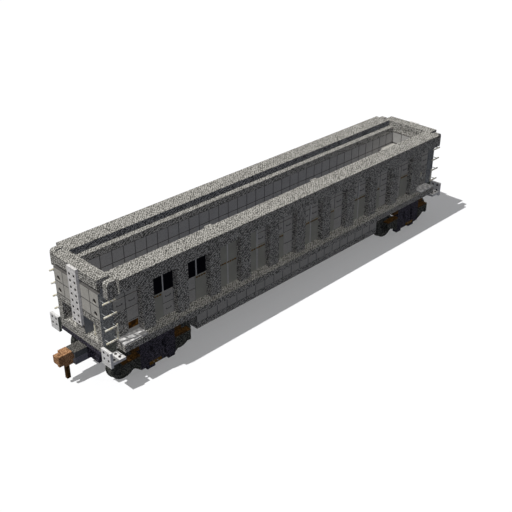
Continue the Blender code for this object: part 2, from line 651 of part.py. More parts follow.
def coupler(name, end):
    hinge = pivot(f"coupler_{name}_pivot", (end * COUPLER_PIVOT, 0, COUPLER_HEIGHT))
    tail = COUPLER_PIVOT - SHANK_TAIL
    shank = box((end * tail, end * (HEAD_BACK + 0.05)), (-SHANK_WIDTH / 2, SHANK_WIDTH / 2),
                (COUPLER_HEIGHT - SHANK_HEIGHT / 2, COUPLER_HEIGHT + SHANK_HEIGHT / 2))
    half_pin = POCKET_HEIGHT / 2 - GAP
    pin = post((end * COUPLER_PIVOT, 0), COUPLER_PIN_RADIUS, COUPLER_HEIGHT - half_pin,
               COUPLER_HEIGHT + half_pin, name="pin")
    head = box((end * HEAD_BACK, end * HEAD_FRONT), (-HEAD_WIDTH / 2, HEAD_WIDTH / 2),
               (HEAD_BOTTOM, HEAD_TOP), "head")
    arm_outer = end * HEAD_WIDTH / 2
    arm = box((end * (HEAD_FRONT - 0.05), end * (HEAD_FRONT + ARM_LENGTH)),
              (arm_outer, arm_outer - end * ARM_WIDTH),
              (HEAD_BOTTOM + JAW_THICKNESS, HEAD_TOP), "guard_arm")
    toggle_x = HEAD_BACK + HEAD_LENGTH / 2
    toggle = box((end * (toggle_x - TOGGLE_WIDTH / 2), end * (toggle_x + TOGGLE_WIDTH / 2)),
                 (-TOGGLE_THICKNESS / 2, TOGGLE_THICKNESS / 2),
                 (HEAD_BOTTOM - TOGGLE_LENGTH, HEAD_BOTTOM + 0.03), "toggle")
    x, y = knuckle_pivot(end)
    recess = box((x - end * 0.09, x + end * 0.5),
                 (y + end * (KNUCKLE_WIDTH / 2 + KNUCKLE_CLEARANCE * 2), y - end * 0.3),
                 (HEAD_BOTTOM + JAW_THICKNESS, HEAD_TOP - JAW_THICKNESS), "recess")
    pin_hole = post((x, y), KNUCKLE_PIN_RADIUS + PIN_CLEARANCE, HEAD_BOTTOM - 0.05,
                    HEAD_TOP + 0.05, name="pin_hole")
    node("coupler_" + name, shank, "rusty_coupler_iron", [pin, head, arm, toggle],
         [recess, pin_hole], hinge)

    knuckle_hinge = pivot(f"knuckle_{name}_pivot", (x, y, COUPLER_HEIGHT), hinge)
    low = HEAD_BOTTOM + JAW_THICKNESS + KNUCKLE_CLEARANCE
    high = HEAD_TOP - JAW_THICKNESS - KNUCKLE_CLEARANCE
    radius = KNUCKLE_WIDTH / 2
    steps = 8
    back = [(x + end * radius * math.cos(a), y + end * radius * math.sin(a))
            for a in (math.pi / 2 + math.pi * i / steps for i in range(steps + 1))]
    tip = x + end * KNUCKLE_REACH
    hook = y + end * KNUCKLE_HOOK
    root = x + end * (KNUCKLE_REACH - KNUCKLE_NOSE)
    outline = [*back, (tip, back[-1][1]), (tip, hook), (root, hook), (root, back[0][1])]
    base = plate(outline, "XY", low, high)
    knuckle_pin = post((x, y), KNUCKLE_PIN_RADIUS, HEAD_BOTTOM, HEAD_TOP, name="knuckle_pin")
    node("knuckle_" + name, base, "rusty_coupler_iron", [knuckle_pin], parent=knuckle_hinge)


# --- Bogies -------------------------------------------------------------------------
def wheelset(name, x, parent):
    """Axle, two wheels and journals, turned about Y in one profile of (radius, y)."""
    axle_pivot = pivot(name + "_pivot", (x, 0, AXLE_HEIGHT), parent)
    tread = WHEEL_DIAMETER / 2
    middle = WHEEL_BACK + WHEEL_WIDTH * 0.45
    web_in, web_out = middle - WHEEL_PLATE / 2, middle + WHEEL_PLATE / 2
    rim = tread - RIM_DEPTH
    hub_end = WHEEL_FACE + 0.015
    tip = hub_end + JOURNAL_LENGTH
    half = [(0, tip), (JOURNAL_RADIUS, tip), (JOURNAL_RADIUS, hub_end), (HUB_RADIUS, hub_end),
            (HUB_RADIUS, web_out + 0.02), (rim, web_out), (rim, WHEEL_FACE),
            (tread - 0.01, WHEEL_FACE), (tread, WHEEL_FACE - 0.02), (tread, WHEEL_BACK + 0.04),
            (tread + FLANGE_HEIGHT, WHEEL_BACK + 0.025), (tread + FLANGE_HEIGHT, WHEEL_BACK),
            (rim, WHEEL_BACK), (rim, web_in), (HUB_RADIUS, web_in - 0.02),
            (HUB_RADIUS, WHEEL_BACK - 0.02), (AXLE_RADIUS, WHEEL_BACK - 0.02)]
    profile = half + [(radius, -y) for radius, y in reversed(half)]
    bm = bmesh.new()
    rows = [bm.verts.new((radius, 0, y)) for radius, y in profile]
    for a, b in zip(rows, rows[1:]):
        bm.edges.new((a, b))
    mesh = bpy.data.meshes.new(name)
    bm.to_mesh(mesh)
    bm.free()
    made = bpy.data.objects.new(name, mesh)
    HELPERS.objects.link(made)
    screw = made.modifiers.new("Screw", "SCREW")
    screw.steps = screw.render_steps = TURNED_STEPS
    screw.use_merge_vertices = True
    screw.merge_threshold = 0.0001
    made.rotation_euler = (math.pi / 2, 0, 0)
    made.location = (x, 0, AXLE_HEIGHT)
    bpy.context.view_layer.update()
    node(name, made, "worn_wheel_steel", parent=axle_pivot)


def frame_outline(centre):
    """Side frame seen from the side: a deep body with an arm over each axle."""
    axle = WHEELBASE / 2
    jaw = PEDESTAL_OPENING + PEDESTAL_WALL
    half = [(FRAME_HALF_BODY, FRAME_TOP - FRAME_TOP_BAR / 2), (FRAME_HALF_BODY, FRAME_ARM_TOP),
            (axle + jaw, FRAME_ARM_TOP - FRAME_ARM_FALL), (axle + jaw, PEDESTAL_FOOT),
            (axle - jaw, PEDESTAL_FOOT + PEDESTAL_CHAMFER),
            (FRAME_HALF_BODY, SPRING_SEAT_BOTTOM)]
    outline = half + [(-x, z) for x, z in reversed(half)]
    return [(centre + x, z) for x, z in outline]


def pedestal_cutters(centre, side):
    """The opening between a side frame's jaws, over each axle."""
    roof = AXLE_HEIGHT + JOURNAL_RADIUS + JOURNAL_CLEARANCE
    y = (side * (FRAME_INNER - 0.1), side * (FRAME_INNER + FRAME_THICKNESS + 0.1))
    return [box((axle - PEDESTAL_OPENING, axle + PEDESTAL_OPENING), y,
                (PEDESTAL_FOOT - 0.1, roof), "opening")
            for axle in (centre - WHEELBASE / 2, centre + WHEELBASE / 2)]


def spring(x, y):
    """A coil spring drawn as a stack of round turns."""
    low, high = SPRING_SEAT_TOP - 0.01, BOLSTER_BOTTOM - GAP
    pitch = (high - low) / SPRING_TURNS
    bm = bmesh.new()
    points = []
    for turn in range(SPRING_TURNS):
        base = low + pitch * turn
        points += [(SPRING_RADIUS * 0.8, base), (SPRING_RADIUS, base + pitch * 0.35),
                   (SPRING_RADIUS, base + pitch * 0.65)]
    points.append((SPRING_RADIUS * 0.8, high))
    points = [(0, low), *points, (0, high)]
    rows = [bm.verts.new((radius, 0, z)) for radius, z in reversed(points)]
    edges = [bm.edges.new((a, b)) for a, b in zip(rows, rows[1:])]
    bmesh.ops.spin(bm, geom=rows + edges, cent=(0, 0, 0), axis=(0, 0, 1),
                   angle=2 * math.pi, steps=12, use_merge=True)
    bmesh.ops.remove_doubles(bm, verts=bm.verts, dist=1e-5)
    bmesh.ops.translate(bm, vec=(x, y, 0), verts=bm.verts)
    return mesh_object("spring", bm)


def window_wall(centre, side):
    """Sheets that close a side frame's window around the bolster's end, behind the springs."""
    seated = 0.02
    y = (side * (FRAME_INNER + 0.004), side * (FRAME_INNER + 0.004 + WINDOW_WALL))
    sheets = [box((centre - WINDOW_HALF - seated, centre + WINDOW_HALF + seated), y,
                  (SPRING_SEAT_TOP - seated, BOLSTER_BOTTOM - 0.01), "low_wall")]
    for turn in (-1, 1):
        sheets.append(box((centre + turn * (BOLSTER_WIDTH / 2 + 0.01),
                           centre + turn * (WINDOW_HALF + seated)), y,
                          (BOLSTER_BOTTOM - 0.03, WINDOW_TOP + seated), "cheek_wall"))
    return sheets


def bogie(name, end):
    centre = end * BOGIE_CENTRES / 2
    hinge = pivot(f"bogie_{name}_pivot", (centre, 0, BOLSTER_TOP))
    frame_outer = FRAME_INNER + FRAME_THICKNESS
    middle_y = FRAME_INNER + FRAME_THICKNESS / 2
    for side_name, side in SIDES:
        base = plate(frame_outline(centre), "XZ", side * FRAME_INNER, side * frame_outer)
        window = box((centre - WINDOW_HALF, centre + WINDOW_HALF),
                     (side * (FRAME_INNER - 0.1), side * (frame_outer + 0.1)),
                     (SPRING_SEAT_TOP, WINDOW_TOP), "window")
        faces = (side * (FRAME_INNER + FRAME_BAR_INSET), side * (frame_outer - FRAME_BAR_INSET))
        bar = box((centre - FRAME_HALF_TOP, centre + FRAME_HALF_TOP), faces,
                  (FRAME_TOP - FRAME_TOP_BAR, FRAME_TOP), "bar")
        legs = [box((centre - end * low, centre - end * high), faces,
                    (FRAME_BOTTOM, SPRING_SEAT_BOTTOM + 0.05), "leg")
                for low, high in LEG_PLACES]
        base = node(f"side_frame_{name}_{side_name}", base, "dark_bogie_iron",
                    [bar, *legs], [window, *pedestal_cutters(centre, side)], hinge)
        fused = [spring(centre + place * SPRING_PITCH, side * middle_y) for place in SPRING_ROW]
        fused += window_wall(centre, side)
        for added in fused:
            boolean(base, added, "UNION")
            added.hide_render = True
            added.display_type = "WIRE"

    half = BOLSTER_WIDTH / 2
    end_top = BOLSTER_BOTTOM + BOLSTER_END_HEIGHT
    shoulder = FRAME_INNER - 0.08
    reach = frame_outer - 0.02
    outline = [(-reach, BOLSTER_BOTTOM), (reach, BOLSTER_BOTTOM), (reach, end_top),
               (shoulder, end_top), (shoulder - 0.15, BOLSTER_TOP),
               (-shoulder + 0.15, BOLSTER_TOP), (-shoulder, end_top), (-reach, end_top)]
    base = plate(outline, "YZ", centre - half, centre + half)
    bowl_top = BOLSTER_TOP + BOWL_HEIGHT
    bowl = post((centre, 0), BOWL_RADIUS, BOLSTER_TOP - 0.03, bowl_top, segments=20, name="bowl")
    pin_hole = post((centre, 0), KINGPIN_RADIUS + PIN_CLEARANCE,
                    bowl_top - KINGPIN_DEPTH - CENTRE_PLATE_GAP, bowl_top + 0.1, name="pin_hole")
    node("bogie_bolster_" + name, base, "dark_bogie_iron", [bowl], [pin_hole], hinge)

    brake_rig(name, centre, hinge)
    for number, dx in ((1, -0.5), (2, 0.5)):
        wheelset(f"wheelset_{name}{number}", centre + dx * WHEELBASE, hinge)


def brake_rig(name, centre, hinge):
    """Two brake beams with shoes, tied by a pull rod under the bolster."""
    half_beam = BRAKE_BEAM / 2
    z = (AXLE_HEIGHT - half_beam, AXLE_HEIGHT + half_beam)
    reach = FRAME_INNER - GAP
    half_rod = BRAKE_BEAM_CENTRE
    base = box((centre - half_rod, centre + half_rod), (-half_beam, half_beam), z)
    shoe_face = WHEELBASE / 2 - WHEEL_DIAMETER / 2 - SHOE_TO_TREAD
    joined = []
    for dx in (-1, 1):
        x = centre + dx * BRAKE_BEAM_CENTRE
        joined.append(box((x - half_beam, x + half_beam), (-reach, reach), z, "beam"))
        for _, side in SIDES:
            joined.append(box((x, centre + dx * shoe_face),
                              (side * (WHEEL_BACK + 0.04), side * (WHEEL_FACE - SHOE_INSET)),
                              (AXLE_HEIGHT - SHOE_HEIGHT / 2, AXLE_HEIGHT + SHOE_HEIGHT / 2),
                              "shoe"))
    node("brake_rig_" + name, base, "dark_bogie_iron", joined, parent=hinge)


# --- The wagon ----------------------------------------------------------------------
clear_scene()
WAGON = new_collection("coal_gondola")
HELPERS = new_collection("cutters")

for side_label, side_sign in SIDES:
    top_chord(side_label, side_sign)
    side_wall(side_label, side_sign)
    side_sill(side_label, side_sign)
floors_and_tub()
underframe()
for end_label, end_sign in ENDS:
    end_structure(end_label, end_sign)
    for side_label, side_sign in SIDES:
        ladder(end_label, end_sign, side_label, side_sign)
    coupler(end_label, end_sign)
    bogie(end_label, end_sign)
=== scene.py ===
# %% [markdown]
# # Dressing a coal gondola
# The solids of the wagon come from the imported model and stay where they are. This script gives
# each of them a painted, galvanised or rusty finish, adds the thin pressed panels, strips and
# latches that sit on them, and sets up a floor, the lamps and a camera. It could model the
# whole wagon again instead, but then two models of one wagon would have to be kept alike.

import math

import bmesh
import bpy
from mathutils import Matrix, Vector


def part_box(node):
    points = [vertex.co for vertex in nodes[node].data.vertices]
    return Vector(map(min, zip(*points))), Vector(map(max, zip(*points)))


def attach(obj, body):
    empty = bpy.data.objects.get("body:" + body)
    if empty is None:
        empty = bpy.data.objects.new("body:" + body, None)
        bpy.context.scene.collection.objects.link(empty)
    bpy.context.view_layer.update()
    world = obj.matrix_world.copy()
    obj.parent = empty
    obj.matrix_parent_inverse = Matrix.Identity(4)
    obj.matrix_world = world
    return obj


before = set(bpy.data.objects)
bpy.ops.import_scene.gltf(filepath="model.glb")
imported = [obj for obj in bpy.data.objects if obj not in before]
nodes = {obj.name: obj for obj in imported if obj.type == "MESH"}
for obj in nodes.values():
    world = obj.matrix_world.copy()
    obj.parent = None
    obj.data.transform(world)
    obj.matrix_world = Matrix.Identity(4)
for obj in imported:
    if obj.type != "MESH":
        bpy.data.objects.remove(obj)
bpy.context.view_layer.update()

# %% [markdown]
# Every place below is taken from the boxes of the solids themselves. Typed numbers would give
# the same places today, but would leave the panels behind if the solids changed. The wagon is
# built on one square module, the width of a side post, and the panels follow it.

# %% Places taken from the solids
wall_low, wall_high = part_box("side_wall_near")
tub_low, tub_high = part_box("tub_side_near")

MODULE = 0.43                        # a post's width, and the panels' pitch
SIDES = (("near", -1), ("far", 1))
ENDS = (("a", -1), ("b", 1))
half_inside = -wall_low.x            # to the end of the side walls
sheet_face = -tub_low.y              # outer face of the side sheets, from the middle
inner_face = -wall_high.y            # inner face of the side walls
floor_top = wall_low.z
wall_top = wall_high.z
end_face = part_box("end_wall_b")[1].x
print("sheet face", round(sheet_face, 3), "inner face", round(inner_face, 3),
      "walls", round(floor_top, 3), "to", round(wall_top, 3), "end face", round(end_face, 3))

# %% [markdown]
# ## Two helpers for materials
# Blender's shaders work in linear light, while a painter picks colours on a screen. One
# function turns a screen colour into a linear one, and one adds a node with its settings and
# links. The nodes could be laid out by hand in the editor, but every finish here has the same
# layout, and a function lays it out the same way each time.

# %% Colour and node helpers
def linear(colour):
    """A screen colour such as '8a8781' as linear RGBA."""
    channels = [int(colour[i:i + 2], 16) / 255 for i in (0, 2, 4)]
    return [c / 12.92 if c <= 0.04045 else ((c + 0.055) / 1.055) ** 2.4 for c in channels] + [1]


def add(tree, kind, stops=None, inputs=None, **settings):
    """Adds a node. A value that is another node's socket becomes a link."""
    made = tree.nodes.new(kind)
    for key, value in settings.items():
        setattr(made, key, value)
    if stops:
        ramp = made.color_ramp
        while len(ramp.elements) < len(stops):
            ramp.elements.new(0.5)
        for element, (place, colour) in zip(ramp.elements, stops):
            element.position = place
            element.color = linear(colour)
    for key, value in (inputs or {}).items():
        if isinstance(value, bpy.types.NodeSocket):
            tree.links.new(value, made.inputs[key])
        else:
            made.inputs[key].default_value = value
    return made


print("mid grey 808080 is", [round(c, 3) for c in linear("808080")], "in linear light")

# %% [markdown]
# ## One recipe for every weathered finish
# All of the wagon's finishes are grainy: paint over grit-blasted castings, scale on forged
# wheels, dry rust. A Voronoi texture measures how far each point is from the nearest grain's
# middle, and a colour ramp turns that into light tops and dark hollows. A soft noise on a much
# larger scale adds the weathering. An image could do this too, but it would need unwrapping,
# and would blur close up. The gloss stays low, since matt paint hardly mirrors the sky.
#
# A zone is a part of a solid with its own colours, such as the galvanised tread of a painted
# platform. It is found by its place in metres, so it needs no painted map.

# %% Masks by place
def where(**limits):
    """A mask that is 1 where each named coordinate lies between its two limits. They count
    from the wagon's middle both ways, because both ends and both sides are alike."""
    def mask(tree, place):
        folded = add(tree, "ShaderNodeVectorMath", operation="ABSOLUTE", inputs={0: place})
        split = add(tree, "ShaderNodeSeparateXYZ", inputs={"Vector": folded.outputs["Vector"]})
        held = None
        for axis, (low, high) in limits.items():
            for limit, test in ((low, "GREATER_THAN"), (high, "LESS_THAN")):
                if limit is None:
                    continue
                one = add(tree, "ShaderNodeMath", operation=test,
                          inputs={0: split.outputs[axis.upper()], 1: limit}).outputs[0]
                held = one if held is None else add(
                    tree, "ShaderNodeMath", operation="MULTIPLY", inputs={0: held, 1: one}
                ).outputs[0]
        return held
    return mask


print("masks count from the middle, so", len(ENDS), "ends and", len(SIDES), "sides match")

# %% [markdown]
# Real grit lies evenly, because each grain keeps its neighbours off. Points scattered quite
# freely would leave clumps and bare spots, so the grains stay near the corners of a lattice.
# The lattice is turned, or its rows would show where they meet a flat face.

# %% Grains and weathering
EVENNESS = 0.6                       # 1 scatters the grains freely, 0 sets them in rows
LATTICE_TURN = (0.6, 0.5, 0.3)       # radians
STAIN_SCALE = 2.2                    # stains about half a metre wide
RAMP_START, RAMP_SPAN = 0.2, 0.5     # distances, in grains, between which the colours lie


def shades(tree, place, colours, grain, weather):
    """Rounded grains at the given spacing in metres, coloured by a ramp: the last colour is on
    the grains' tops, and the first in the hollows between them."""
    turned = add(tree, "ShaderNodeMapping", inputs={"Vector": place, "Rotation": LATTICE_TURN})
    cells = add(tree, "ShaderNodeTexVoronoi", inputs={
        "Vector": turned.outputs["Vector"], "Scale": 1 / grain, "Randomness": EVENNESS})
    steps = [(RAMP_START + RAMP_SPAN * i / (len(colours) - 1), colour)
             for i, colour in enumerate(reversed(colours))]
    grains = add(tree, "ShaderNodeValToRGB", stops=steps,
                 inputs={"Fac": cells.outputs["Distance"]})
    stain = add(tree, "ShaderNodeTexNoise",
                inputs={"Vector": place, "Scale": STAIN_SCALE, "Detail": 4, "Roughness": 0.65})
    tone = add(tree, "ShaderNodeMapRange", inputs={
        "Value": stain.outputs["Fac"], "From Min": 0.3, "From Max": 0.7,
        "To Min": 1 - weather, "To Max": 1 + weather})
    toned = add(tree, "ShaderNodeVectorMath", operation="SCALE",
                inputs={0: grains.outputs["Color"], "Scale": tone.outputs["Result"]})
    return toned.outputs["Vector"], cells.outputs["Distance"]


print("stains about", round(1 / STAIN_SCALE, 2), "m wide")

# %% [markdown]
# The recipe puts it together: one base of grains, and any zones mixed over it in turn. Relief
# is left out where the coat is smooth. None of it is metallic, because paint, zinc salts and
# rust all hide the metal under them. A separate recipe for each coat would only repeat this
# one with other colours.

# %% The finish recipe
ROUGHNESS = 0.85                     # matt, like chalked paint
GLOSS = 0.08                         # specular level of a dusty coat


def finish(name, colours, grain, relief=0.0, weather=0.06, gloss=GLOSS, zones=()):
    """A grainy material. Each zone is (its mask, its colours, its grain)."""
    made = bpy.data.materials.new(name)
    made.use_nodes = True
    tree = made.node_tree
    shader = tree.nodes["Principled BSDF"]
    place = add(tree, "ShaderNodeTexCoord").outputs["Object"]
    colour, height = shades(tree, place, colours, grain, weather)
    for mask, zone_colours, zone_grain in zones:
        other, _ = shades(tree, place, zone_colours, zone_grain, weather)
        mix = add(tree, "ShaderNodeMix", data_type="RGBA")
        tree.links.new(mask(tree, place), mix.inputs["Factor"])
        tree.links.new(colour, mix.inputs[6])
        tree.links.new(other, mix.inputs[7])
        colour = mix.outputs[2]
    tree.links.new(colour, shader.inputs["Base Color"])
    shader.inputs["Roughness"].default_value = ROUGHNESS
    shader.inputs["Specular IOR Level"].default_value = gloss
    if relief:
        bump = add(tree, "ShaderNodeBump", invert=True,
                   inputs={"Height": height, "Distance": relief, "Strength": 0.6})
        tree.links.new(bump.outputs["Normal"], shader.inputs["Normal"])
    return made


print("coats are", ROUGHNESS, "rough, with a gloss of", GLOSS)

# %% [markdown]
# ## The finishes
# Castings, chords and posts carry a stippled grey enamel: sand in the top coat gives a walkway
# its grip, and twenty years of weather have bleached the tops of the grains. To the eye it is
# a pale speckle over grey. Modelled grains would take millions of faces, so colour and a slight
# bump do it. They are drawn 45 mm apart, coarser than real ones, so that they still show from
# across a yard. The inner face of the chord's upstanding lip is painted darker: painted shade.

# %% Sanded enamel on posts, walls and chords
GRAIN = 0.045                        # sand of 1 to 2 mm, drawn coarser
STIPPLE = ("484743", "6c6a65", "86847e", "9a9791", "aeaba3", "c8c5bd", "f2efe7")
# darker tones for the inner face of the chord's lip: painted shade
PAINTED_LIP_SHADE = ("323334", "4e4f51", "636466", "757678", "88898b", "9fa0a1", "bfbfbf")
LIP = 2 * MODULE                     # the lip starts here, from the middle
MARGIN = 0.004                       # a mask ends this far off a face, to be clear of it
chord_low, chord_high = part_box("top_chord_far")
sand_paint = finish("sanded_body_enamel", STIPPLE, GRAIN, relief=0.002)
# the zone on the inner face of the lip is painted shade
chord_coat = finish("sanded_enamel_with_painted_lip_shade", STIPPLE, GRAIN, relief=0.002, zones=(
    (where(y=(LIP - MARGIN, LIP + MARGIN), z=(None, chord_high.z - MARGIN)), PAINTED_LIP_SHADE, GRAIN),))
print("chords from", round(chord_low.y, 3), "to", round(chord_high.y, 3), "m across")

# %% [markdown]
# The other coats are named here once, because several solids share them. Hot-dipped galvanised
# plate weathers to a matt salt that is almost white. Sheet and corners wear a plain mid grey.
# Primer is greenish, dipped enamel is cream, and bitumen dries to a purple black. Each is a run
# of close tones from dark to light rather than one colour, or the surface would look like
# plastic. The grain of each comes from its real width, as far as that would show.

# %% Colours of the platforms and sills
PALE_PLATE = ("d5d3cf", "e2e0dd", "ebeae7", "f4f3f1")
SHEET = ("ada9a1", "b3b0a8", "b6b3ac", "bcb9b2")
CORNER = ("6c6d6d", "858787", "989a9a", "adafae")
# the sheet inside the alcoves, darkened: painted shade
PAINTED_ALCOVE_SHADE = ("76787a", "7b7d80", "7e8083", "828487")
BOARD = ("a8a7a5", "c0bebc", "d2d0cd", "eae8e5")
FLANK = ("4c4f49", "62655e", "777a72", "8b8d85")
CREAM = ("cfc6a8", "e9e3cc", "f6f1e2", "fffdf5")
BITUMEN = ("19181c", "2c2a31", "3b3941", "4b4853", "68646f")
FINE = 0.05                          # the skin of sprayed paint, 2 to 5 mm, drawn coarser
SPANGLE = 0.06                       # zinc crystals of 10 to 20 mm, drawn coarser
DRIP = 0.08                          # runs of dipped enamel, at their real width
TREAD = 0.12                         # scuffs on a running board, as wide as a boot
print("grains", round(GRAIN * 1000), "mm apart, zinc crystals", round(SPANGLE * 1000), "mm")

# %% [markdown]
# A platform's steps and a sill's running boards are galvanised, and the rod in each alcove is
# dipped in cream enamel. Inside the alcoves, beside the column, plain sheet shows, painted
# darker: painted shade. The flank under the ladder is primed, and the foot of each end sill is
# bitumen black below a set height. A platform is one casting, so these are zones of one
# material. Separate shells would do the same, but would have to be fitted over it without a gap.

# %% Platforms and sills: several finishes on one solid
ROD = (end_face - 0.20, MODULE)      # place of the alcove's rod, along and across
ROD_MARGIN = 0.035                   # half the rod's width, and a little more
TAR_LINE = 1.234                     # bitumen below this height
TAR_EDGE = 0.03                      # and as far as this from the outer face of the sheets
CORE = (0.1, MODULE / 2 + 0.01)      # the bare sides of the column's core, across
above_deck = (floor_top + MARGIN, None)
flank = sheet_face - 0.006           # just inside the outer face of the sheets
platform_coat = finish("platform_enamel_and_zinc", STIPPLE, GRAIN, relief=0.002, zones=(
    (where(y=(None, sheet_face - TAR_EDGE), z=(None, TAR_LINE)), BITUMEN, GRAIN),
    (where(y=(flank, None)), FLANK, FINE),
    (where(y=(flank, None), z=(floor_top, None)), CORNER, GRAIN),
    (where(y=(sheet_face + MARGIN, None)), PALE_PLATE, SPANGLE),
    # the alcoves' sides beside the column: painted shade
    (where(x=(half_inside, end_face - MARGIN), y=CORE, z=above_deck), PAINTED_ALCOVE_SHADE, FINE),
    (where(x=(ROD[0] - ROD_MARGIN, ROD[0] + ROD_MARGIN),
           y=(ROD[1] - ROD_MARGIN, ROD[1] + ROD_MARGIN), z=above_deck), CREAM, DRIP)))
sill_coat = finish("sill_enamel_and_zinc", STIPPLE, GRAIN, relief=0.003, zones=(
    (where(z=above_deck), BOARD, TREAD),))
print("rods", round(ROD[0], 3), "m from the middle, tar below", TAR_LINE, "m")

# %% [markdown]
# Pressed steel sheet takes a smooth alkyd paint. It has hardly any grain, only a little
# unevenness, so it reads as calm grey squares between the speckled posts. Inside, it is painted
# darker, as painted shade. Each pressing ends in a caulked seam, which is darker still and
# slightly lumpy. A groove would need its own faces all round, while a strip of caulk looks the
# same from a few metres away.

# %% Smooth sheet paint and its seams
SEAM = 0.032                         # width of a caulked seam
half_seam = SEAM / 2
LUMPS = 0.03                         # of caulk, about as wide as its seam
SEAM_DARK = ("5c5a58", "686562")
# the lining's darker tones are painted shade
LINING_SHADED = ("a09e9a", "a6a4a0", "aaa8a5", "afadaa")
sheet_paint = finish("alkyd_on_pressed_steel", SHEET, FINE, weather=0.04)
shaded_lining_paint = finish("alkyd_on_lining_steel_with_painted_shade", LINING_SHADED, FINE, weather=0.04)
seam_caulk = finish("dark_seam_caulk", SEAM_DARK, LUMPS)
print("seams", round(SEAM * 1000), "mm wide")

# %% [markdown]
# The upper part of each end has four such squares on either side of its column. The end wall
# is one pressing, so the squares and the seams between them are zones: a seam is a mask that
# is as wide as the caulk, along one coordinate, inside the height of the squares.

# %% Squares on the end walls
squares_low = wall_top - 2 * MODULE
seams = (("y", inner_face), ("z", squares_low), ("z", squares_low + MODULE), ("z", wall_top))
height = {"z": (squares_low - half_seam, wall_top + half_seam)}
seam_zones = [(where(**{**height, axis: (at - half_seam, at + half_seam)}), SEAM_DARK, FINE)
              for axis, at in seams]
end_coat = finish("end_plate_enamel", STIPPLE, GRAIN, relief=0.002, zones=(
    (where(z=(squares_low, wall_top)), SHEET, FINE),
    *seam_zones,
    (where(y=(flank, None)), CORNER, GRAIN)))
print(len(seam_zones), "seam masks from", round(squares_low, 3), "m up")

# %% [markdown]
# The round grab irons are dipped in a cream enamel, so that a hand finds them at dusk. The
# stiles and standoffs behind them are painted with the wall. Each ladder is one solid, so a
# mask by place tells its rungs from its stiles. The columns are galvanised plate like the
# steps, but thicker. It cools more slowly in the bath, so its zinc crystals are broader.

# %% Ladders and the end columns
RUNGS = sheet_face + 0.18            # the rungs lie beyond this, from the middle
ladder_coat = finish("ladder_enamel", CORNER, FINE, zones=(
    (where(y=(RUNGS, None)), CREAM, FINE),))
BROAD_SPANGLE = 0.07                 # crystals of 20 to 30 mm, drawn coarser
column_zinc = finish("galvanised_column_plate", ("d3d0cc", "dfdcd8", "e8e5e2", "f1eeec"),
                     BROAD_SPANGLE, weather=0.05)
print("rungs beyond", round(RUNGS, 3), "m")

# %% [markdown]
# Below the body the iron is dark. The bogies are cast steel under bitumen, which weathers to a
# purple black with little gloss. Over the axles the bitumen has flaked off, and brown rust
# shows. Low on the arms, brake dust from the wheels has covered both. The wheels are forged,
# and their oxide scale is a greenish black with a faint sheen. Colours could be brushed onto
# the faces instead, but a casting's faces are too large to end where rust does.

# %% Bogies and wheels
RUST = ("281807", "3c270d", "503716", "6a4c26")
WHEEL_SCALE = ("161715", "2c2d2a", "3f403c", "55564f", "7b7c74")
ARM = 0.66                           # a side frame's arms start here, from its middle
bogie_low, bogie_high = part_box("bogie_bolster_b")
bogie_centre = (bogie_low.x + bogie_high.x) / 2
axle_height = sum(corner.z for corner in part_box("wheelset_a1")) / 2
arm_top = axle_height + 0.24
arms = ((bogie_centre + ARM, None), (None, bogie_centre - ARM))
levels = (((None, arm_top), WHEEL_SCALE), ((arm_top, None), RUST))
bitumen_iron = finish("bitumen_on_cast_steel", BITUMEN, GRAIN, relief=0.004, weather=0.15)
frame_iron = finish("side_frame_bitumen_and_rust", BITUMEN, GRAIN, relief=0.004, weather=0.15,
                    zones=tuple((where(x=x, z=z), colours, FINE)
                                for x in arms for z, colours in levels))
wheel_iron = finish("forged_wheel_steel", WHEEL_SCALE, FINE, relief=0.003, weather=0.2,
                    gloss=0.2)
print("axles", round(axle_height, 3), "m up, arms rust above", round(arm_top, 3), "m")

# %% [markdown]
# The couplers are never painted, so that cracks can be seen. They wear a dry, copper-coloured
# rust that is darkest on the hanging toggle. The draft boxes are rolled steel: bitumen inside
# the end sill, bare grey sides outside it, and a sanded top where a shunter may tread. Again
# these are zones by place, measured from the solids, so that they move with them.

# %% Couplers and draft boxes
DRY_RUST = ("77573d", "90694a", "a87f5b", "bd926c", "d2a780")
TOGGLE_DROP = 0.42                   # the toggle starts here, below the head's top
SIDE_STEP = 0.88                     # height where the draft box's side steps in
coupler_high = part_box("coupler_a")[1]
coupler_iron = finish("dry_rust_on_cast_steel", DRY_RUST, GRAIN, relief=0.004, weather=0.15,
                      zones=((where(z=(None, coupler_high.z - TOGGLE_DROP)), RUST, FINE),))
BARE_SIDE = ("72717a", "7d7c82", "88878d")
UPPER_SIDE = ("4f5152", "5a5c5d", "666869")
SANDED_TOP = ("383735", "4c4a47", "5b5955", "6f6d68", "8a8882")
draft_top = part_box("draft_box_a")[1].z
top_face = (draft_top - 0.012, None)
outside = (end_face + 0.01, None)    # past the end sill
draft_zones = ((where(x=outside), BARE_SIDE, FINE),
               (where(x=outside, z=(SIDE_STEP, None)), UPPER_SIDE, FINE),
               (where(z=top_face), SANDED_TOP, GRAIN))
draft_iron = finish("bitumen_on_rolled_draft_box", BITUMEN, GRAIN, relief=0.003, weather=0.15,
                    zones=draft_zones)
print("coupler heads to", round(coupler_high.z, 3), "m, draft boxes to", round(draft_top, 3))

# %% [markdown]
# The solids keep their shapes, and only their material slots are filled. A table of how the
# names begin is shorter than a line for each solid, and shows at a glance what has which coat.

